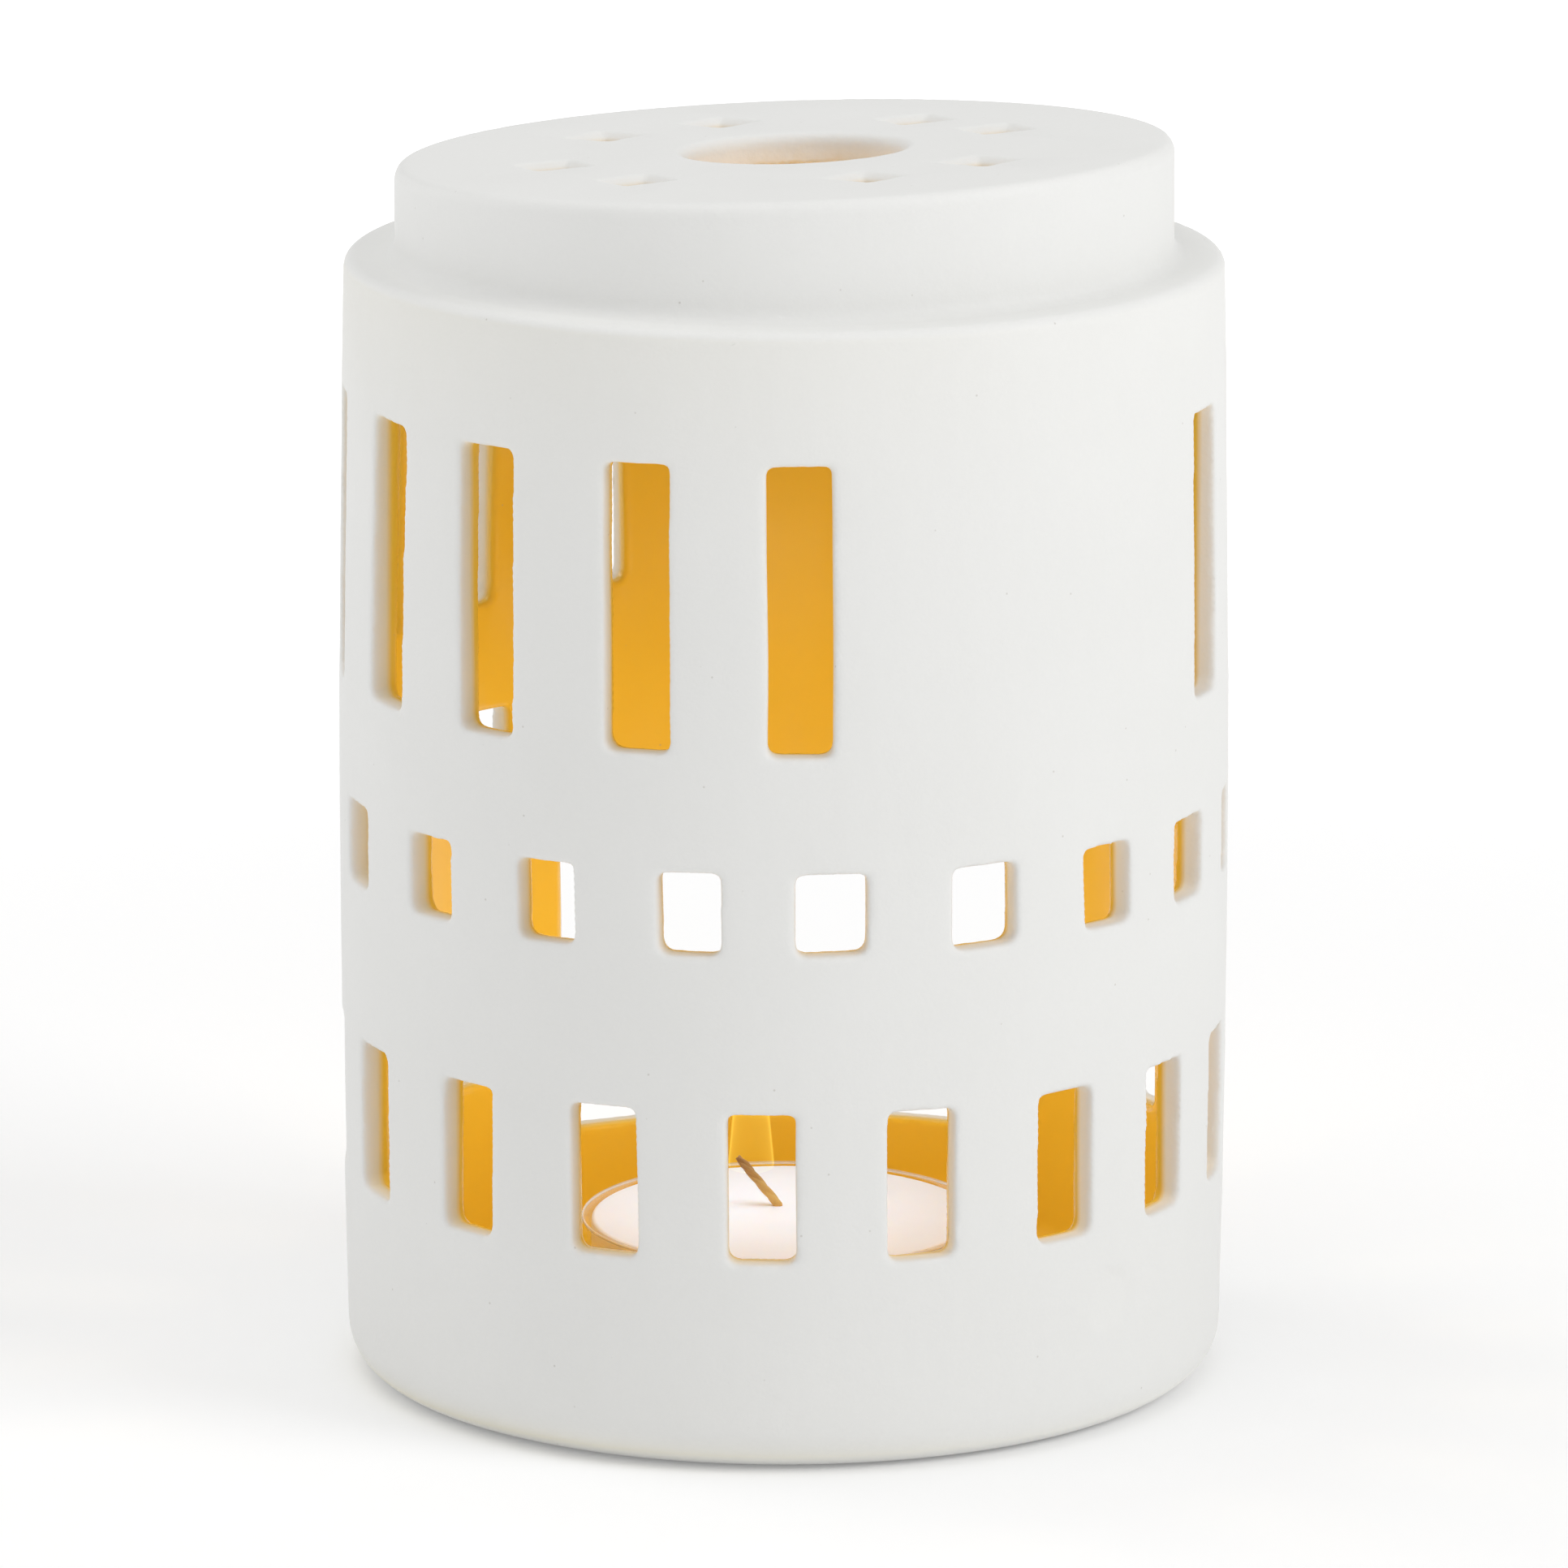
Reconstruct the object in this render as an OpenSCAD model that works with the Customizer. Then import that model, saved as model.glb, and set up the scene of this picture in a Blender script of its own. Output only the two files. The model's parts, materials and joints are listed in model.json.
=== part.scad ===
// Pierced ceramic tealight lantern with a slanted cap, and the tealight that stands in it.
// Millimetres. +Z is up, the front faces -Y and the tealight's doorway is at the back, +Y.
// The origin is at the middle of the flat underside. Angles round the wall run from the front, with + to the right.

/* [Body] */
// Outer radius of the wall at its widest
belly_r = 43.3; // [41:0.1:46]
// Height of the widest place
belly_z = 50; // [40:1:60]
// How far the wall draws in from the belly to the shoulder
draw_in = 0.8; // [0.2:0.1:1.2]
// Thickness of the wall and of the top
wall = 3; // [2.5:0.1:3.4]
// Thickness of the floor
floor_t = 3; // [2.6:0.1:3.2]
// Height of the flat shoulder
shoulder_z = 110.4; // [109:0.1:112]
// Rounding of the edge round the underside
base_round = 4.5; // [3:0.1:5]
// Rounding of the shoulder's outer edge
shoulder_round = 1.1; // [0.8:0.1:2.5]

/* [Cap] */
// Outer radius of the cap
cap_r = 37.6; // [36.5:0.1:38.5]
// Height of the slanted top at its middle
cap_z = 120.4; // [119:0.1:122]
// Slope of the top, degrees
slant = 3.1; // [2:0.1:4]
// Side of the cap that stands highest, degrees from the front
slant_to = 42; // [0:1:90]
// Rounding of the cap's rim
rim_round = 1; // [0.8:0.1:2.4]
// Fillet where the cap meets the shoulder
cap_fillet = 1.5; // [1:0.1:2]
// Diameter of the round chimney hole
chimney_d = 21; // [18:0.5:22]
// Rounding of the chimney hole's upper edge
chimney_round = 1.2; // [0.6:0.1:1.6]
// Radius of the ring of square vents
vent_ring = 22.8; // [21.5:0.1:24]
// Side of a square vent
vent_w = 4.2; // [3:0.1:4.5]
// Width of the bevel round a vent
vent_bevel = 0.9; // [0.4:0.1:1]

/* [Windows] */
// Width of a tall slot
slot_w = 6.3; // [5.5:0.1:7]
// Width of a small square window
square_w = 6.5; // [5.5:0.1:7]
// Width of a lower window
lower_w = 6.6; // [5.5:0.1:7]
// Rounding of the windows' lower corners
low_corner = 0.9; // [0.4:0.1:1.2]
// Rounding of the windows' upper corners
high_corner = 0.4; // [0.2:0.1:0.8]
// Width of the doorway at the back
door_w = 45; // [43:0.5:46]
// Height of the doorway's sill
sill_z = 14; // [13.5:0.1:14]
// Height of the doorway's top
door_top_z = 49; // [48.8:0.1:50]

/* [Tealight] */
// Outer radius of the cup's wall
cup_r = 19.4; // [18.5:0.1:19.5]
// Height of the cup
cup_h = 11.4; // [10.8:0.1:11.6]
// How far the cup's rim stands out
rim_out = 0.5; // [0.4:0.1:1]
// Thickness of the cup's plastic
cup_t = 0.4; // [0.4:0.05:0.6]
// Diameter of the wick
wick_d = 1; // [0.8:0.1:1.2]
// Length of wick that stands out of the wax
wick_out = 5.6; // [4:0.1:6]
// Lean of the free wick, degrees to the left
wick_lean = 41; // [0:1:45]

/* [Hidden] */
$fn = 96;
// Small clearance between pieces that fit together
gap = 0.05;
// Extra length that carries a cutter past a face
past = 2;
// Each row of hand-cut windows: angles round the wall, lean in degrees to the right, and extra width
slot_at = [-152, -129.8, -106.5, -84, -62, -41.1, -18.9, 2.1, 70.6, 91, 113, 135, 157];
slot_lean = [0.6, -0.9, 0.3, 0.7, 1.5, -0.4, -0.5, -0.3, 0.5, 0.7, -0.6, -0.6, 0.7];
slot_extra = [-0.2, 0.2, -0.1, -0.2, 0.1, 0.2, 0, -0.1, 0, -0.2, -0.2, 0.2, 0.2];
square_at = [-133, -113, -92.5, -72.5, -51.5, -31.5, -12, 6, 26.2, 45.6, 64.6, 83.5, 103, 122.5];
square_lean = [0.8, 0.6, 0, -0.3, -0.9, -0.9, -0.9, -0.6, -0.8, -0.6, -0.4, -0.4, -0.5, -0.5];
square_extra = [-0.2, -0.2, -0.2, -0.1, -0.2, -0.2, -0.6, 0.2, 0.1, -0.2, -0.2, -0.1, 0.1, 0.2];
lower_at = [-130, -109, -88, -67, -44.8, -23.5, -2.8, 17.7, 38.6, 58.2, 77.4, 98, 118.5];
lower_lean = [-0.7, -0.9, -0.2, 0.6, 0.4, -0.6, 0.2, 0, -0.5, -0.7, -0.5, 0.4, 0.8];
lower_extra = [0.2, 0.2, 0.2, 0.2, -0.2, 0.1, -0.1, 0, -0.2, -0.2, -0.1, -0.2, -0.2];
// Angles of the vents round the cap
vent_at = [20, 55, 115, 146, 196, 230, 284, 322];
// How far each vent's sides are turned from the X axis
vent_turn = [50, 50, 28, 27, 47, 50, 25, 32];
// Bottom and top heights of the three rows of windows
slot_z = [70, 97.7];
square_z = [50.8, 58.7];
lower_z = [20.8, 35.4];
// The wall's gentle belly is turned as this many straight bands
bands = 8;
belly_curve = pow(shoulder_z - belly_z, 2) / (2 * draw_in);
inside_round = 2.5;
chimney_x = 1;
chimney_y = 1;
stamp_d = 6.4;
stamp_depth = 0.3;
stamp_at = 47;
stamp_z = 13.5;
wick_x = -0.6;
wick_y = 3.6;
neck_d = 2.4;
neck_h = 3;
sustainer_d = 13;
sustainer_t = 0.3;
cup_z = floor_t;
wax_z0 = cup_z + cup_t;
wax_z1 = cup_z + cup_h - 0.2;
wax_edge = 0.8;

function wall_r(z) = belly_r - pow(z - belly_z, 2) / (2 * belly_curve);

// Half of a turned shape with a bellied side and rounded lower and upper corners, at inset from the outside
module turned_side(inset, z0, z1, round0, round1) {
    low = z0 + round0;
    high = z1 - round1;
    side = [for (i = [0 : bands]) let (z = low + (high - low) * i / bands) [wall_r(z) - inset, z]];
    r_low = wall_r(low) - inset;
    r_high = wall_r(high) - inset;
    polygon(concat([[0, low]], side, [[0, high]]));
    translate([0, z0]) square([r_low - round0, 2 * round0]);
    translate([0, high - round1]) square([r_high - round1, 2 * round1]);
    corner(r_low - round0, low, round0);
    corner(r_high - round1, high, round1);
}

// Round end of a corner, kept to the positive side of the axis
module corner(x, z, r) {
    translate([x, z]) circle(r = r);
}

// Places its children on the slanted top, whose upper face is then the plane z = 0
module on_top() {
    translate([0, 0, cap_z]) rotate([-slant, 0, slant_to]) children();
}

// Everything below a plane that lies depth under the slanted top
module under_top(depth) {
    size = 4 * belly_r;
    on_top() translate([-size / 2, -size / 2, -size - depth]) cube(size);
}

// Upright drum of the cap, cut to the slant, with a rounded lid on it
module cap_outside() {
    intersection() {
        rotate_extrude() {
            translate([0, shoulder_z - wall]) square([cap_r, 30]);
            difference() {
                translate([cap_r - 1, shoulder_z - 1]) square([1 + cap_fillet, 1 + cap_fillet]);
                translate([cap_r + cap_fillet, shoulder_z + cap_fillet]) circle(r = cap_fillet);
            }
        }
        under_top(rim_round);
    }
    // the lid is a touch narrower, so that its tilted edge stays on the drum
    lid_r = cap_r - 0.1;
    on_top() rotate_extrude() {
        translate([0, -rim_round - 0.5]) square([lid_r - rim_round, rim_round + 0.5]);
        intersection() {
            translate([lid_r - rim_round, -rim_round]) circle(r = rim_round);
            translate([0, -rim_round]) square([lid_r, rim_round]);
        }
    }
}

module cap_inside() {
    intersection() {
        translate([0, 0, shoulder_z - wall - 1]) cylinder(r = cap_r - wall, h = 30);
        under_top(wall);
    }
}

// Outline of a window, with rounder corners at the foot than at the top
module window_outline(w, h) {
    foot = w / 2 - low_corner;
    top = w / 2 - high_corner;
    translate([-w / 2, low_corner - h / 2]) square([w, h - low_corner - high_corner]);
    translate([-foot, -h / 2]) square([2 * foot, h / 2]);
    translate([-top, 0]) square([2 * top, h / 2]);
    for (side = [-1, 1]) {
        translate([side * foot, low_corner - h / 2]) circle(r = low_corner);
        translate([side * top, h / 2 - high_corner]) circle(r = high_corner);
    }
}

// One window through the wall, centred at an angle
module window(angle, w, z, lean) {
    middle = (z[0] + z[1]) / 2;
    rotate([0, 0, angle]) translate([0, wall + 2 * past - belly_r, middle]) rotate([0, lean, 0]) rotate([90, 0, 0])
        linear_extrude(wall + 3 * past) window_outline(w, z[1] - z[0]);
}

module row(angles, leans, w, extras, z) {
    for (i = [0 : len(angles) - 1]) window(angles[i], w + extras[i], z, leans[i]);
}

module doorway() {
    translate([-door_w / 2, belly_r - wall - 14, sill_z]) cube([door_w, wall + 14 + past, door_top_z - sill_z]);
}

// Square pyramid stump that bevels a vent
module vent_mouth() {
    half = vent_w / 2;
    side = [[-half, -vent_bevel], [half, -vent_bevel], [half + vent_bevel + 0.2, 0.2], [-half - vent_bevel - 0.2, 0.2]];
    long = 3 * vent_w;
    intersection() {
        rotate([90, 0, 0]) linear_extrude(long, center = true) polygon(side);
        rotate([90, 0, 90]) linear_extrude(long, center = true) polygon(side);
    }
}

module vents() {
    for (i = [0 : len(vent_at) - 1]) {
        a = vent_at[i] - slant_to;
        on_top() translate([vent_ring * sin(a), -vent_ring * cos(a), 0]) rotate([0, 0, vent_turn[i] - slant_to]) {
            translate([-vent_w / 2, -vent_w / 2, -wall - past]) cube([vent_w, vent_w, wall + 2 * past]);
            vent_mouth();
        }
    }
}

module chimney() {
    r = chimney_d / 2;
    translate([chimney_x, chimney_y, 0]) on_top() rotate_extrude() {
        translate([0, -wall - past]) square([r, wall + 2 * past]);
        difference() {
            translate([0, -chimney_round]) square([r + chimney_round, chimney_round + past]);
            translate([r + chimney_round, -chimney_round]) circle(r = chimney_round);
            translate([r, 0]) square([chimney_round + 1, past + 1]);
        }
    }
}

// Shallow plain round stamp low on the wall
module stamp() {
    rotate([0, 0, stamp_at]) translate([0, -wall_r(stamp_z) + stamp_depth, stamp_z]) rotate([90, 0, 0])
        cylinder(d = stamp_d, h = 3);
}

module lantern_body() {
    color("whitesmoke") difference() {
        union() {
            rotate_extrude() turned_side(0, 0, shoulder_z, base_round, shoulder_round);
            cap_outside();
        }
        rotate_extrude() turned_side(wall, floor_t, shoulder_z - wall, inside_round, inside_round);
        cap_inside();
        chimney();
        vents();
        row(slot_at, slot_lean, slot_w, slot_extra, slot_z);
        row(square_at, square_lean, square_w, square_extra, square_z);
        row(lower_at, lower_lean, lower_w, lower_extra, lower_z);
        doorway();
        stamp();
    }
}

module tealight_cup() {
    color("aliceblue") translate([0, 0, cup_z]) rotate_extrude() {
        square([cup_r, cup_t]);
        translate([cup_r - cup_t, 0]) square([cup_t, cup_h]);
        translate([cup_r - cup_t, cup_h - cup_t]) square([cup_t + rim_out, cup_t]);
    }
}

module tealight_wax() {
    r = cup_r - cup_t - gap;
    color("seashell") difference() {
        rotate_extrude() {
            translate([0, wax_z0]) square([r, wax_z1 - wax_z0 - wax_edge]);
            translate([0, wax_z1 - 2 * wax_edge]) square([r - wax_edge, 2 * wax_edge]);
            translate([r - wax_edge, wax_z1 - wax_edge]) circle(r = wax_edge);
        }
        translate([wick_x, wick_y, wax_z0 - past]) {
            cylinder(d = wick_d + 2 * gap, h = cup_h + 2 * past);
            cylinder(d = neck_d + 2 * gap, h = past + sustainer_t + neck_h + gap);
            cylinder(d = sustainer_d + 2 * gap, h = past + sustainer_t + gap);
        }
    }
}

module wick() {
    foot = wax_z0 + sustainer_t;
    color("peru") translate([wick_x, wick_y, 0]) {
        translate([0, 0, foot]) cylinder(d = wick_d, h = wax_z1 - foot);
        translate([0, 0, wax_z1]) {
            sphere(d = wick_d);
            rotate([0, -wick_lean, 0]) cylinder(d = wick_d, h = wick_out);
        }
    }
}

module wick_sustainer() {
    color("silver") translate([wick_x, wick_y, wax_z0]) difference() {
        union() {
            cylinder(d = sustainer_d, h = sustainer_t);
            cylinder(d = neck_d, h = sustainer_t + neck_h);
        }
        translate([0, 0, sustainer_t]) cylinder(d = wick_d + 2 * gap, h = neck_h + past);
    }
}

lantern_body();
tealight_cup();
tealight_wax();
wick();
wick_sustainer();
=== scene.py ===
"""Pierced clay lantern with a burning tealight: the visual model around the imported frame.

Everything is in metres, +Z up. The front of the lantern faces -Y and its doorway faces +Y.
"""
import json
import math

import bmesh
import bpy
import numpy as np
from mathutils import Euler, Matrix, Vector, noise

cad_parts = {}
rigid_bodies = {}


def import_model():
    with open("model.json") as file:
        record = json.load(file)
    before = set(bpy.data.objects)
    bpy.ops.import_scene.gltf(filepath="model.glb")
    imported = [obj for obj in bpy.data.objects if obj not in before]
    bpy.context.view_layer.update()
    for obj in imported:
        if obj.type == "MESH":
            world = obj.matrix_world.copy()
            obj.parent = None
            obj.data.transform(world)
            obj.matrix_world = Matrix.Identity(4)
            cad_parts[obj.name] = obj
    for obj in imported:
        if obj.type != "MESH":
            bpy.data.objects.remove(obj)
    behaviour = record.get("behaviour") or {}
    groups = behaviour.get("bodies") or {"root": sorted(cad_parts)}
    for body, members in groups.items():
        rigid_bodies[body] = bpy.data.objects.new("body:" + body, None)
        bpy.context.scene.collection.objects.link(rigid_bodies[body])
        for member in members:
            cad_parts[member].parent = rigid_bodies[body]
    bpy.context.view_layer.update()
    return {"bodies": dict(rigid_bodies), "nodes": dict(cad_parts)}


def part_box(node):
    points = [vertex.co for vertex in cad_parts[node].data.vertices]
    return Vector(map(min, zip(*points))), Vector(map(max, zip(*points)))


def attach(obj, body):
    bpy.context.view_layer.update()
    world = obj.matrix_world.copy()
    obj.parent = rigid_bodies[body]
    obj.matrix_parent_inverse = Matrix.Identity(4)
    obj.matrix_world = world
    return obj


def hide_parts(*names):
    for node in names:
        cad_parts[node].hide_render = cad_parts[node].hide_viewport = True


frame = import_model()
scene = bpy.context.scene
MM = 0.001

# ---- sizes taken from the frame ----
body_low, body_high = (Vector(corner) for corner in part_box("lantern_body"))
cup_low, cup_high = (Vector(corner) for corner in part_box("tealight_cup"))
wax_low, wax_high = (Vector(corner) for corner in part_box("tealight_wax"))
wick_low, wick_high = (Vector(corner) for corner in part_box("wick"))
tin_low, tin_high = (Vector(corner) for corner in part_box("wick_sustainer"))
tin_middle = (tin_low + tin_high) / 2

# ---- sizes of the clay shell ----
WALL_R = (body_high.x - body_low.x) / 2
SHOULDER_Z = 110.4 * MM
CAP_R = 37.6 * MM
CAP_Z = 120.4 * MM
SLANT = math.radians(3.1)
SLANT_TO = math.radians(42)
WALL_T = 3 * MM
CHIMNEY_EDGE = 13 * MM
VENTS_FROM = 16 * MM

# ---- softened, hand-cut look of the clay ----
VOXEL = 0.32 * MM
BODY_TRIANGLES = 190_000
WANDER = 0.16 * MM
WANDER_LENGTH = 13 * MM
SWELL = 0.06 * MM
SWELL_LENGTH = 26 * MM


# ---------------------------------------------------------------- camera
def make_camera():
    """Long lens, straight in front and a little above, aimed at the middle of the lantern."""
    distance = 1.1416
    elevation = 0.227
    target = Vector((0, 0, 57.65 * MM))
    data = bpy.data.cameras.new("camera")
    data.lens = 268.8
    data.sensor_width = 36
    data.clip_start = 0.05
    camera = bpy.data.objects.new("camera", data)
    scene.collection.objects.link(camera)
    camera.location = target + distance * Vector((0, -math.cos(elevation), math.sin(elevation)))
    camera.rotation_euler = (math.pi / 2 - elevation, 0, 0)
    scene.camera = camera


# ---------------------------------------------------------------- mesh helpers
def new_piece(name, mesh, body, slot, material, *nodes):
    """Put a finished mesh into the scene as a piece that rides on a body and replaces CAD nodes."""
    piece = bpy.data.objects.new(name, mesh)
    scene.collection.objects.link(piece)
    mesh.materials.clear()
    mesh.materials.append(material)
    for polygon in mesh.polygons:
        polygon.use_smooth = True
    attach(piece, body)
    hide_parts(*nodes)


def lathe(profile, centre=(0.0, 0.0), turns=128):
    """Mesh of a closed outline of (radius, height) points turned round a vertical axis."""
    bm = bmesh.new()
    rings = []
    for radius, height in profile:
        if radius < 1e-7:
            rings.append([bm.verts.new((centre[0], centre[1], height))])
            continue
        angles = [2 * math.pi * i / turns for i in range(turns)]
        rings.append([
            bm.verts.new((centre[0] + radius * math.cos(a), centre[1] + radius * math.sin(a), height))
            for a in angles
        ])
    for ring, following in zip(rings, rings[1:] + rings[:1]):
        for i in range(turns):
            j = (i + 1) % turns
            corners = [ring[i % len(ring)], ring[j % len(ring)]]
            corners += [following[j % len(following)], following[i % len(following)]]
            corners = list(dict.fromkeys(corners))
            if len(corners) > 2:
                bm.faces.new(corners)
    bmesh.ops.recalc_face_normals(bm, faces=bm.faces)
    mesh = bpy.data.meshes.new("turned")
    bm.to_mesh(mesh)
    bm.free()
    return mesh


def arc(centre, radius, start, end, steps=8):
    """Points of an arc in an outline, angles in degrees."""
    angles = [math.radians(start + (end - start) * i / steps) for i in range(steps + 1)]
    return [(centre[0] + radius * math.cos(a), centre[1] + radius * math.sin(a)) for a in angles]


def modified(mesh, *settings):
    """The mesh after a stack of modifiers, each given as (type, {property: value})."""
    holder = bpy.data.objects.new("holder", mesh)
    scene.collection.objects.link(holder)
    for kind, values in settings:
        modifier = holder.modifiers.new(kind.lower(), kind)
        for key, value in values.items():
            setattr(modifier, key, value)
    graph = bpy.context.evaluated_depsgraph_get()
    result = bpy.data.meshes.new_from_object(holder.evaluated_get(graph))
    bpy.data.objects.remove(holder)
    return result


# ---------------------------------------------------------------- node helpers
class Nodes:
    """Small wrapper that builds one material's node tree."""

    def __init__(self, name):
        self.material = bpy.data.materials.new(name)
        self.material.use_nodes = True
        self.tree = self.material.node_tree
        self.shader = self.tree.nodes["Principled BSDF"]
        self.output = self.tree.nodes["Material Output"]

    def add(self, kind, inputs=None, **settings):
        node = self.tree.nodes.new(kind)
        for key, value in settings.items():
            setattr(node, key, value)
        for key, value in (inputs or {}).items():
            self.feed(node.inputs[key], value)
        return node

    def feed(self, socket, value):
        if isinstance(value, bpy.types.NodeSocket):
            self.tree.links.new(value, socket)
        else:
            socket.default_value = value

    def math(self, operation, a, b=0.0):
        return self.add("ShaderNodeMath", {0: a, 1: b}, operation=operation).outputs[0]

    def fade(self, value, low, high, to_low=0.0, to_high=1.0):
        inputs = {"Value": value, "From Min": low, "From Max": high, "To Min": to_low, "To Max": to_high}
        return self.add("ShaderNodeMapRange", inputs, interpolation_type="SMOOTHSTEP").outputs["Result"]

    def mix(self, factor, a, b):
        node = self.add("ShaderNodeMix", {0: factor, 6: a, 7: b}, data_type="RGBA", blend_type="MIX")
        return node.outputs[2]

    def noise(self, vector, scale, detail=2.0):
        node = self.add("ShaderNodeTexNoise", {"Vector": vector, "Scale": scale, "Detail": detail})
        return node.outputs["Fac"]

    def set(self, **inputs):
        for key, value in inputs.items():
            self.feed(self.shader.inputs[key.replace("_", " ")], value)


# ---------------------------------------------------------------- materials
def clay_material():
    """Matte white clay, cut faces painted with a warm candle glow that deepens inward and with shade that
    darkens them towards the left, and a glossy honey-amber glaze inside the drum whose colour also carries
    painted candlelight glow.
    """
    n = Nodes("fired_clay")
    place = n.add("ShaderNodeTexCoord").outputs["Object"]
    xyz = n.add("ShaderNodeSeparateXYZ", {0: place}).outputs
    flat = n.add("ShaderNodeVectorMath", {0: place, 1: (1, 1, 0)}, operation="MULTIPLY").outputs[0]
    radius = n.add("ShaderNodeVectorMath", {0: flat}, operation="LENGTH").outputs["Value"]

    # depth of a point below the outside of the drum or of the cap, whichever holds it deeper
    rise = math.tan(SLANT)
    slant = (rise * math.sin(SLANT_TO), -rise * math.cos(SLANT_TO), 0)
    lift = n.add("ShaderNodeVectorMath", {0: place, 1: slant}, operation="DOT_PRODUCT").outputs["Value"]
    top = n.math("ADD", lift, CAP_Z)
    drum = n.math("MINIMUM", n.math("SUBTRACT", WALL_R, radius), n.math("SUBTRACT", SHOULDER_Z, xyz[2]))
    drum = n.math("MINIMUM", drum, xyz[2])
    cap = n.math("MINIMUM", n.math("SUBTRACT", CAP_R, radius), n.math("SUBTRACT", top, xyz[2]))
    depth = n.math("MAXIMUM", drum, cap)
    # the glaze covers the inner part of the wall and stops under the shoulder
    glaze = n.fade(depth, 0.56 * WALL_T, 0.84 * WALL_T)
    glaze = n.math("MULTIPLY", glaze, n.fade(xyz[2], SHOULDER_Z - 5 * MM, SHOULDER_Z - 3 * MM, 1, 0))
    # painted candle glow on the cut faces of the wall, warmer the deeper a point lies in the wall
    painted_glow_depth = n.fade(depth, 0.08 * WALL_T, 0.9 * WALL_T)

    cloud = n.noise(place, 70, 3)
    grain = n.noise(place, 2600, 2)
    outside = n.mix(cloud, (0.775, 0.775, 0.757, 1), (0.81, 0.81, 0.795, 1))
    outside = n.mix(n.math("MULTIPLY", grain, 0.12), outside, (0.66, 0.66, 0.64, 1))
    # amber glaze colour that also carries painted candlelight glow
    inside = n.mix(cloud, (0.80, 0.56, 0.06, 1), (0.84, 0.60, 0.08, 1))
    # painted shade on the cut faces: darker and warmer on the left, near white on the right
    side = n.fade(xyz[0], -0.9 * WALL_R, WALL_R)
    painted_cut_glow_and_shade = n.mix(side, (0.76, 0.69, 0.45, 1), (0.98, 0.97, 0.91, 1))
    in_cap = n.fade(xyz[2], SHOULDER_Z, SHOULDER_Z + 4 * MM)
    # on the cap the cut faces are painted pale, without the warm glow
    painted_cut_glow_and_shade = n.mix(in_cap, painted_cut_glow_and_shade, (0.98, 0.95, 0.90, 1))
    # the painted glow and shade are laid over the clay on the cut faces
    colour = n.mix(n.math("MULTIPLY", painted_glow_depth, 0.75), outside, painted_cut_glow_and_shade)
    # painted warm shade in the cap's small vents, just under their bevels
    painted_vent_shade = n.math("MULTIPLY", in_cap, n.fade(radius, CHIMNEY_EDGE, VENTS_FROM))
    painted_vent_shade = n.math("MULTIPLY", painted_vent_shade, n.fade(depth, 0.15 * WALL_T, 0.45 * WALL_T))
    colour = n.mix(painted_vent_shade, colour, (0.76, 0.62, 0.40, 1))
    colour = n.mix(glaze, colour, inside)

    # sparse iron specks
    cells = n.add("ShaderNodeTexVoronoi", {"Vector": place, "Scale": 330, "Randomness": 1.0})
    speck = n.fade(cells.outputs["Distance"], 0.02, 0.05, 1, 0)
    rare = n.add("ShaderNodeSeparateColor", {0: cells.outputs["Color"]}).outputs[0]
    speck = n.math("MULTIPLY", speck, n.math("GREATER_THAN", rare, 0.35))
    colour = n.mix(n.math("MULTIPLY", speck, 0.4), colour, (0.40, 0.37, 0.32, 1))

    n.set(Base_Color=colour, Roughness=n.fade(glaze, 0, 1, 0.62, 0.2), Specular_IOR_Level=0.5)
    height = n.math("ADD", n.math("MULTIPLY", grain, 0.6), n.math("MULTIPLY", n.noise(place, 900, 3), 0.8))
    rough_skin = n.fade(glaze, 0, 1, 1.0, 0.06)
    bump = n.add("ShaderNodeBump", {
        "Height": n.math("MULTIPLY", height, rough_skin), "Distance": 0.06 * MM, "Strength": 0.55,
    })
    n.set(Normal=bump.outputs[0])
    return n.material


def cup_material():
    """Clear thin plastic: see-through, with gloss at glancing angles and a bright cut edge on the lip."""
    n = Nodes("clear_plastic")
    place = n.add("ShaderNodeTexCoord").outputs["Object"]
    flat = n.add("ShaderNodeVectorMath", {0: place, 1: (1, 1, 0)}, operation="MULTIPLY").outputs[0]
    radius = n.add("ShaderNodeVectorMath", {0: flat}, operation="LENGTH").outputs["Value"]
    edge = n.fade(radius, cup_high.x - 0.22 * MM, cup_high.x - 0.08 * MM)
    streaks = n.noise(place, 260, 2)
    n.set(Base_Color=n.mix(streaks, (0.93, 0.90, 0.84, 1), (1.0, 0.97, 0.92, 1)))
    n.set(Roughness=n.fade(streaks, 0.3, 0.7, 0.06, 0.16), IOR=1.49)
    gloss = n.add("ShaderNodeFresnel", {"IOR": 1.3}).outputs[0]
    cover = n.math("ADD", n.math("MULTIPLY", gloss, 0.2), n.math("MULTIPLY", edge, 0.55))
    clear = n.add("ShaderNodeBsdfTransparent").outputs[0]
    cover = n.math("MINIMUM", cover, 1.0)
    blend = n.add("ShaderNodeMixShader", {0: cover, 1: clear, 2: n.shader.outputs[0]})
    n.feed(n.output.inputs["Surface"], blend.outputs[0])
    return n.material


def wax_material():
    """Smooth pale paraffin with faint clouds."""
    n = Nodes("paraffin")
    place = n.add("ShaderNodeTexCoord").outputs["Object"]
    cloud = n.noise(place, 160, 3)
    n.set(Base_Color=n.mix(cloud, (0.93, 0.885, 0.865, 1), (0.98, 0.95, 0.94, 1)))
    n.set(Subsurface_Weight=0.25, Subsurface_Scale=2.0 * MM, Roughness=n.fade(cloud, 0.3, 0.7, 0.3, 0.42))
    n.set(Subsurface_Radius=(1.0, 0.7, 0.5))
    ripple = n.noise(place, 500, 2)
    bump = n.add("ShaderNodeBump", {"Height": ripple, "Distance": 0.05 * MM, "Strength": 0.4})
    n.set(Normal=bump.outputs[0])
    return n.material


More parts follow.
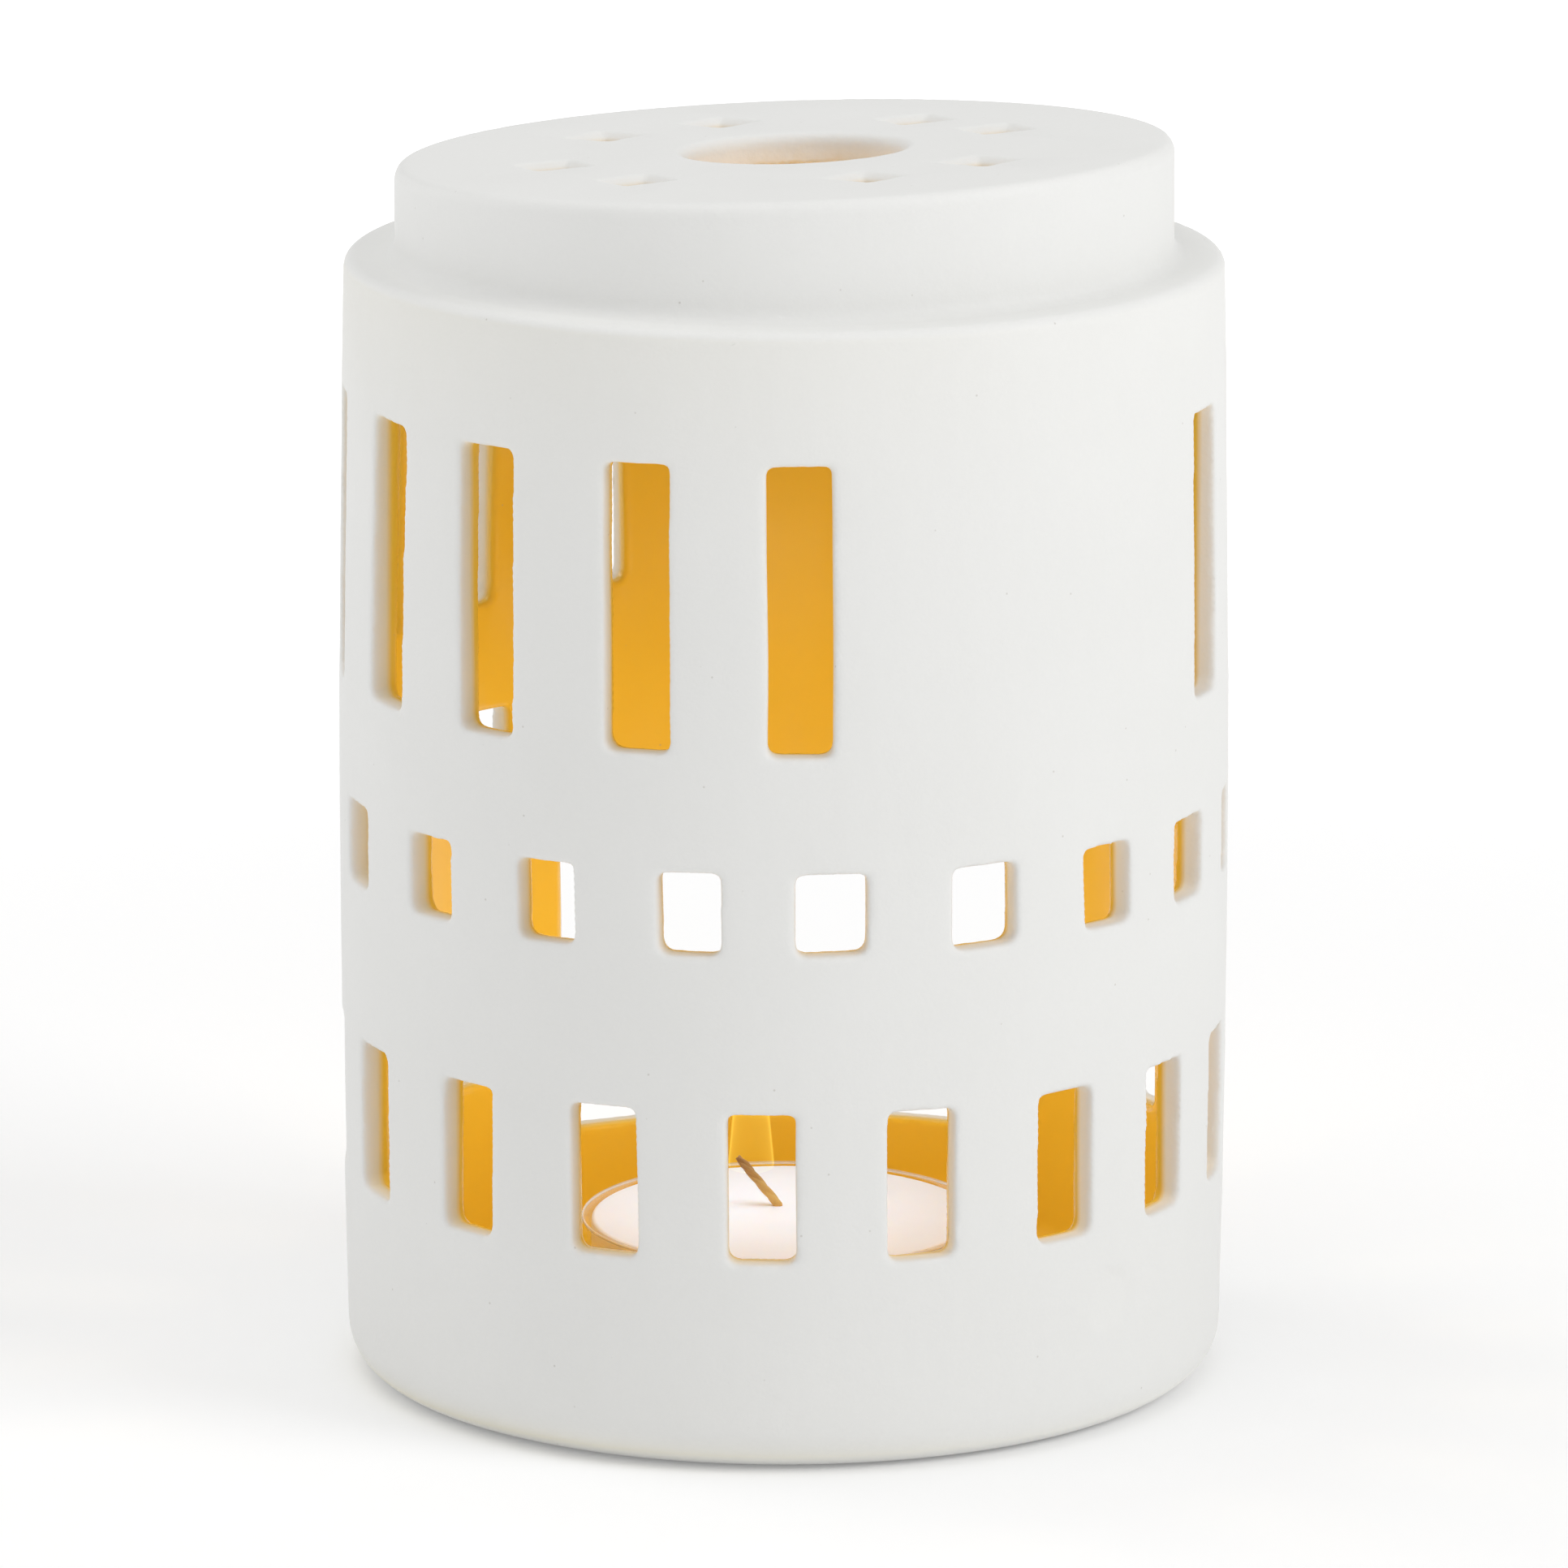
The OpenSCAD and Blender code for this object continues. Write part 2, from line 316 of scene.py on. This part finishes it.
def wick_material():
    """Waxed cotton, browned by the flame and darkest at the tip."""
    n = Nodes("waxed_cotton")
    place = n.add("ShaderNodeTexCoord").outputs["Object"]
    z = n.add("ShaderNodeSeparateXYZ", {0: place}).outputs[2]
    burnt = n.fade(z, wax_high.z + 0.5 * MM, wick_high.z)
    fibre = n.noise(place, 3500, 3)
    waxed = n.mix(fibre, (0.68, 0.43, 0.12, 1), (0.80, 0.55, 0.20, 1))
    charred = n.mix(fibre, (0.28, 0.14, 0.05, 1), (0.44, 0.25, 0.09, 1))
    n.set(Base_Color=n.mix(burnt, waxed, charred))
    n.set(Roughness=n.fade(fibre, 0.3, 0.7, 0.55, 0.85))
    bump = n.add("ShaderNodeBump", {"Height": fibre, "Distance": 0.05 * MM, "Strength": 0.8})
    n.set(Normal=bump.outputs[0])
    return n.material


def tin_material():
    """Thin stamped tinplate with fine rolling lines."""
    n = Nodes("tinplate")
    place = n.add("ShaderNodeTexCoord").outputs["Object"]
    stretch = n.add("ShaderNodeMapping", {"Vector": place, "Scale": (40, 1200, 1200)}).outputs[0]
    lines = n.noise(stretch, 1, 2)
    n.set(Base_Color=n.mix(lines, (0.66, 0.66, 0.67, 1), (0.80, 0.80, 0.80, 1)))
    n.set(Metallic=1.0, Roughness=n.fade(lines, 0.3, 0.7, 0.22, 0.4))
    return n.material


# ---------------------------------------------------------------- lantern body
def hand_cut(point):
    """Small shift that makes cut edges wander along the wall and leaves its round shape alone."""
    radius = math.hypot(point.x, point.y)
    axis_r, wall_r, wall_top, foot_z = 5 * MM, 38.5 * MM, 106 * MM, 8 * MM
    if radius < axis_r:
        return Vector()
    outward = Vector((point.x, point.y, 0)) / radius
    around = Vector((-point.y, point.x, 0)) / radius
    grain = point / WANDER_LENGTH
    on_wall = min(max((radius - wall_r) / MM, 0), 1) * min(max((wall_top - point.z) / MM, 0), 1)
    up = on_wall * min(point.z / foot_z, 1)
    shift = around * (WANDER * noise.noise(grain))
    shift.z = up * WANDER * noise.noise(grain + Vector((31, 7, 3)))
    swell = SWELL * noise.noise(point / SWELL_LENGTH)
    return shift + swell * outward


def smoothed(mesh, rounds, weight_of=None):
    """Pull every vertex halfway to the mean of its neighbours, a number of times."""
    count = len(mesh.vertices)
    points = np.empty(count * 3)
    mesh.vertices.foreach_get("co", points)
    points = points.reshape(-1, 3)
    edges = np.empty(len(mesh.edges) * 2, dtype=np.int32)
    mesh.edges.foreach_get("vertices", edges)
    ends = edges.reshape(-1, 2)
    start, end = np.concatenate((ends[:, 0], ends[:, 1])), np.concatenate((ends[:, 1], ends[:, 0]))
    degree = np.bincount(start, minlength=count)[:, None]
    weight = 0.5 if weight_of is None else 0.5 * weight_of(points)[:, None]
    for _ in range(rounds):
        total = [np.bincount(start, weights=points[end, axis], minlength=count) for axis in range(3)]
        points = points + weight * (np.stack(total, axis=1) / degree - points)
    mesh.vertices.foreach_set("co", points.ravel())


def below_shoulder(points):
    """1 on the drum, 0 on the cap, whose edges are crisper."""
    change = 4 * MM
    return np.clip((SHOULDER_Z - change - points[:, 2]) / change, 0, 1)


def make_body(material):
    """The clay shell: softened edges, hand-cut windows and a settled, slightly uneven skin."""
    source = frame["nodes"]["lantern_body"].data.copy()
    # the voxel grid is set askew to the upright window edges, so that it leaves no steps along them
    tilt = Euler((0.5, 0.4, 0.2)).to_matrix().to_4x4()
    source.transform(tilt)
    mesh = modified(
        source,
        ("WELD", {"merge_threshold": 1e-6}),
        ("REMESH", {"mode": "VOXEL", "voxel_size": VOXEL, "use_smooth_shade": True}),
    )
    mesh.transform(tilt.inverted())
    smoothed(mesh, 1)
    smoothed(mesh, 7, below_shoulder)
    triangles = 2 * len(mesh.polygons)
    mesh = modified(mesh, ("DECIMATE", {"ratio": BODY_TRIANGLES / triangles}))
    for vertex in mesh.vertices:
        vertex.co += hand_cut(vertex.co)
        vertex.co.z = max(vertex.co.z, 0)
    new_piece("lantern_clay", mesh, "lantern", "clay", material, "lantern_body")


# ---------------------------------------------------------------- tealight
def make_cup(material):
    """Thin clear cup: stepped floor, rounded foot, upright wall and a narrow flat lip."""
    wall, lip = 0.4 * MM, 0.24 * MM
    outer = wax_high.x + wall + 0.06 * MM
    inner = outer - wall
    z0, z1, lip_r = cup_low.z, cup_high.z, cup_high.x
    foot, step, turn = 1.2 * MM, 0.35 * MM, 0.5 * MM
    profile = [(0, z0 + step), (outer - 4 * MM, z0 + step), (outer - 3.4 * MM, z0)]
    profile += arc((outer - foot, z0 + foot), foot, -90, 0)
    profile += arc((outer + turn, z1 - lip - turn), turn, 180, 90, 5)
    profile += arc((lip_r - lip / 2, z1 - lip / 2), lip / 2, -90, 90, 6)
    profile += arc((inner + turn, z1 - turn), turn, 90, 180, 5)
    profile += arc((outer - foot, z0 + foot), foot - wall, 0, -90)
    profile += [(outer - 3.2 * MM, z0 + wall), (outer - 3.8 * MM, z0 + step + wall), (0, z0 + step + wall)]
    mesh = lathe(profile, turns=160)
    new_piece("tealight_cup_clear", mesh, "tealight", "cup_plastic", material, "tealight_cup")


def make_wax(material):
    """Disc of wax with a rounded edge and a shallow melted dish round the wick."""
    r, z0, z1 = wax_high.x, wax_low.z, wax_high.z
    edge, foot = 0.4 * MM, 0.8 * MM
    dish_r, dish = 9 * MM, 0.06 * MM
    profile = [(0, z0 + 0.4 * MM), (r - 3.9 * MM, z0 + 0.4 * MM), (r - 3.2 * MM, z0)]
    profile += arc((r - foot, z0 + foot), foot, -90, 0)
    profile += arc((r - edge, z1 - edge), edge, 0, 90)
    steps = 14
    for i in range(steps + 1):
        across = 1 - i / steps
        profile.append((dish_r * across, z1 - dish * (0.5 + 0.5 * math.cos(math.pi * across))))
    mesh = lathe(profile, turns=160)
    new_piece("tealight_wax_disc", mesh, "tealight", "wax", material, "tealight_wax")


def sweep(bm, points, radii, sides):
    """Round tube with closed ends through the points."""
    across = Vector((0, 1, 0))
    rings = []
    for i, point in enumerate(points):
        along = points[min(i + 1, len(points) - 1)] - points[max(i - 1, 0)]
        side = along.cross(across).normalized()
        other = side.cross(along).normalized()
        across = other
        turn = [2 * math.pi * k / sides for k in range(sides)]
        spokes = [math.cos(a) * side + math.sin(a) * other for a in turn]
        rings.append([bm.verts.new(point + radii[i] * spoke) for spoke in spokes])
    for ring, following in zip(rings, rings[1:]):
        for k in range(sides):
            m = (k + 1) % sides
            bm.faces.new((ring[k], ring[m], following[m], following[k]))
    bm.faces.new(rings[0][::-1])
    bm.faces.new(rings[-1])


def make_wick(material):
    """Three cotton strands twisted together, upright in the wax and leaning to the left above it."""
    foot = Vector((tin_middle.x, tin_middle.y, wick_low.z))
    knee = Vector((tin_middle.x, tin_middle.y, wax_high.z + 0.1 * MM))
    tip = Vector((wick_low.x + 0.1 * MM, tin_middle.y + 0.6 * MM, wick_high.z + 0.2 * MM))
    strand_r, offset, twist = 0.31 * MM, 0.16 * MM, 5.5 * MM
    steps_low, steps_high = 24, 30
    middle = [foot.lerp(knee, i / steps_low) for i in range(steps_low)]
    bend = knee.lerp(tip, 0.3)
    for i in range(steps_high + 1):
        t = i / steps_high
        middle.append((1 - t) ** 2 * knee + 2 * t * (1 - t) * bend + t * t * tip)
    bm = bmesh.new()
    for strand in range(3):
        points, radii, run = [], [], 0.0
        for i, point in enumerate(middle):
            along = (middle[min(i + 1, len(middle) - 1)] - middle[max(i - 1, 0)]).normalized()
            run += (point - middle[max(i - 1, 0)]).length
            side = along.cross(Vector((0, 1, 0))).normalized()
            other = side.cross(along)
            angle = 2 * math.pi * (strand / 3 + run / twist)
            points.append(point + offset * (math.cos(angle) * side + math.sin(angle) * other))
            end = min(1.0, 0.45 + 0.14 * (len(middle) - 1 - i))
            radii.append(strand_r * end)
        sweep(bm, points, radii, 10)
    bmesh.ops.recalc_face_normals(bm, faces=bm.faces)
    mesh = bpy.data.meshes.new("braid")
    bm.to_mesh(mesh)
    bm.free()
    new_piece("wick_braid", mesh, "tealight", "wick", material, "wick")


def make_sustainer(material):
    """Stamped tin foot of the wick: a dished disc with a raised bead and a crimped neck."""
    r = (tin_high.x - tin_low.x) / 2
    z0, z1 = tin_low.z, tin_high.z
    sheet, neck, hole = 0.25 * MM, 1.2 * MM, 0.56 * MM
    profile = [(hole, z0), (r - 1.5 * MM, z0), (r - 1.1 * MM, z0 + 0.04 * MM), (r - 0.7 * MM, z0)]
    profile += [(r, z0), (r, z0 + sheet), (r - 0.7 * MM, z0 + sheet)]
    profile += [(r - 1.1 * MM, z0 + sheet + 0.04 * MM), (r - 1.5 * MM, z0 + sheet)]
    profile += [(neck + 0.5 * MM, z0 + sheet), (neck + 0.1 * MM, z0 + sheet + 0.25 * MM)]
    profile += [(neck, z0 + sheet + 0.7 * MM), (neck - 0.15 * MM, z1 - 1.1 * MM), (neck, z1 - 0.3 * MM)]
    profile += [(neck - 0.1 * MM, z1), (hole + 0.1 * MM, z1), (hole, z1 - 0.15 * MM)]
    mesh = lathe(profile, (tin_middle.x, tin_middle.y), 64)
    new_piece("sustainer_stamped", mesh, "tealight", "tin", material, "wick_sustainer")


# ---------------------------------------------------------------- flame, floor and lights
def flame_outline(low, high, radius, steps=28):
    """Half outline of a flame: blunt foot where it is widest, drawn out to a point."""
    points = []
    for i in range(steps + 1):
        t = (i / steps) ** 1.6
        foot = math.sqrt(min(1.0, t / 0.03))
        points.append((radius * foot * (1 - t) ** 0.8, low + (high - low) * t))
    return points


def make_flame():
    """Glowing hollow shell over the wick. It belongs to the stage and follows the tealight."""
    place_xy = (wick_low.x + 1.4 * MM, tin_middle.y + 3.4 * MM)
    low, high, radius = wax_high.z + 2.4 * MM, wax_high.z + 24 * MM, 2.4 * MM
    outer = lathe(flame_outline(low, high, radius), place_xy, 48)
    inner = lathe(flame_outline(low + 0.1 * MM, high - 2.5 * MM, radius - 0.16 * MM), place_xy, 48)
    bm = bmesh.new()
    bm.from_mesh(inner)
    bmesh.ops.reverse_faces(bm, faces=bm.faces)
    bm.from_mesh(outer)
    bm.to_mesh(outer)
    bm.free()
    n = Nodes("flame")
    n.tree.nodes.remove(n.shader)
    place = n.add("ShaderNodeTexCoord").outputs["Object"]
    z = n.add("ShaderNodeSeparateXYZ", {0: place}).outputs[2]
    strength = n.fade(z, low, low + 1.2 * MM, 0, 240)
    glow = n.add("ShaderNodeEmission", {"Color": (0.9, 0.82, 0.15, 1), "Strength": strength}).outputs[0]
    n.feed(n.output.inputs["Volume"], glow)
    outer.materials.append(n.material)
    flame = bpy.data.objects.new("flame", outer)
    scene.collection.objects.link(flame)
    flame.parent = frame["bodies"]["tealight"]
    flame.visible_shadow = flame.visible_diffuse = flame.visible_glossy = False


def candle_light(name, place, watts, colour, size, receivers=None, excluded=None):
    """Small round light of the flame, parented to the tealight, kept to or off some pieces."""
    data = bpy.data.lights.new(name, "POINT")
    data.energy = watts
    data.color = colour
    data.shadow_soft_size = size
    light = bpy.data.objects.new(name, data)
    scene.collection.objects.link(light)
    light.location = place
    light.parent = frame["bodies"]["tealight"]
    light.visible_glossy = False
    linked = bpy.data.collections.new(name + "_links")
    for piece_name in receivers or excluded:
        linked.objects.link(bpy.data.objects[piece_name])
    if excluded:
        for entry in linked.collection_objects:
            entry.light_linking.link_state = "EXCLUDE"
    light.light_linking.receiver_collection = linked


def area_light(name, place, size, watts):
    """Large soft white lamp that points at the lantern."""
    data = bpy.data.lights.new(name, "AREA")
    data.shape = "DISK"
    data.size = size
    data.energy = watts
    lamp = bpy.data.objects.new(name, data)
    scene.collection.objects.link(lamp)
    lamp.location = place
    aim = Vector((0, 0, 60 * MM)) - Vector(place)
    lamp.rotation_euler = aim.to_track_quat("-Z", "Y").to_euler()


def make_stage():
    """Plain pale floor, white surroundings and soft lamps, the strongest from the right."""
    half = 4.0
    mesh = bpy.data.meshes.new("floor")
    corners = [(-half, -half, 0), (half, -half, 0), (half, half, 0), (-half, half, 0)]
    mesh.from_pydata(corners, [], [(0, 1, 2, 3)])
    material = Nodes("pale_floor")
    material.set(Base_Color=(0.9, 0.9, 0.9, 1), Roughness=0.9, Specular_IOR_Level=0.1)
    place = material.add("ShaderNodeTexCoord").outputs["Object"]
    away = material.add("ShaderNodeVectorMath", {0: place}, operation="LENGTH").outputs["Value"]
    material.set(Emission_Color=(1, 1, 1, 1), Emission_Strength=material.fade(away, 0.15, 0.7, 0.10, 0.5))
    mesh.materials.append(material.material)
    floor = bpy.data.objects.new("floor", mesh)
    floor.location.z = -0.05 * MM
    scene.collection.objects.link(floor)

    world = bpy.data.worlds.new("surroundings")
    world.use_nodes = True
    background = world.node_tree.nodes["Background"]
    background.inputs["Color"].default_value = (1, 1, 1, 1)
    background.inputs["Strength"].default_value = 0.60
    scene.world = world
    scene.view_settings.view_transform = "Standard"

    area_light("key_right", (1.33, -0.63, 1.0), 0.9, 9.0)
    area_light("edge_left", (-1.1, 0.62, 0.60), 0.7, 2.1)
    area_light("overhead", (-0.3, -0.1, 1.5), 1.3, 5.7)


def make_candle_lights():
    """Warm light on the clay, and a cooler one that keeps the tealight near white."""
    tealight = ["tealight_wax_disc", "tealight_cup_clear", "wick_braid", "sustainer_stamped"]
    x, y = wick_low.x + 1.3 * MM, tin_middle.y
    warm, cool = (1.0, 0.78, 0.38), (0.50, 0.74, 1.0)
    low, middle = (x, y, wax_high.z + 14 * MM), (x, y, wax_high.z + 30 * MM)
    high = (0, 0, wax_high.z + 46 * MM)
    candle_light("candle_amber", low, 0.0168, warm, 3 * MM, excluded=tealight)
    candle_light("candle_glow", high, 0.011, warm, 8 * MM, excluded=tealight)
    candle_light("candle_near", middle, 0.036, cool, 11 * MM, receivers=tealight)


make_camera()
make_body(clay_material())
make_cup(cup_material())
make_wax(wax_material())
make_wick(wick_material())
make_sustainer(tin_material())
make_flame()
make_stage()
make_candle_lights()
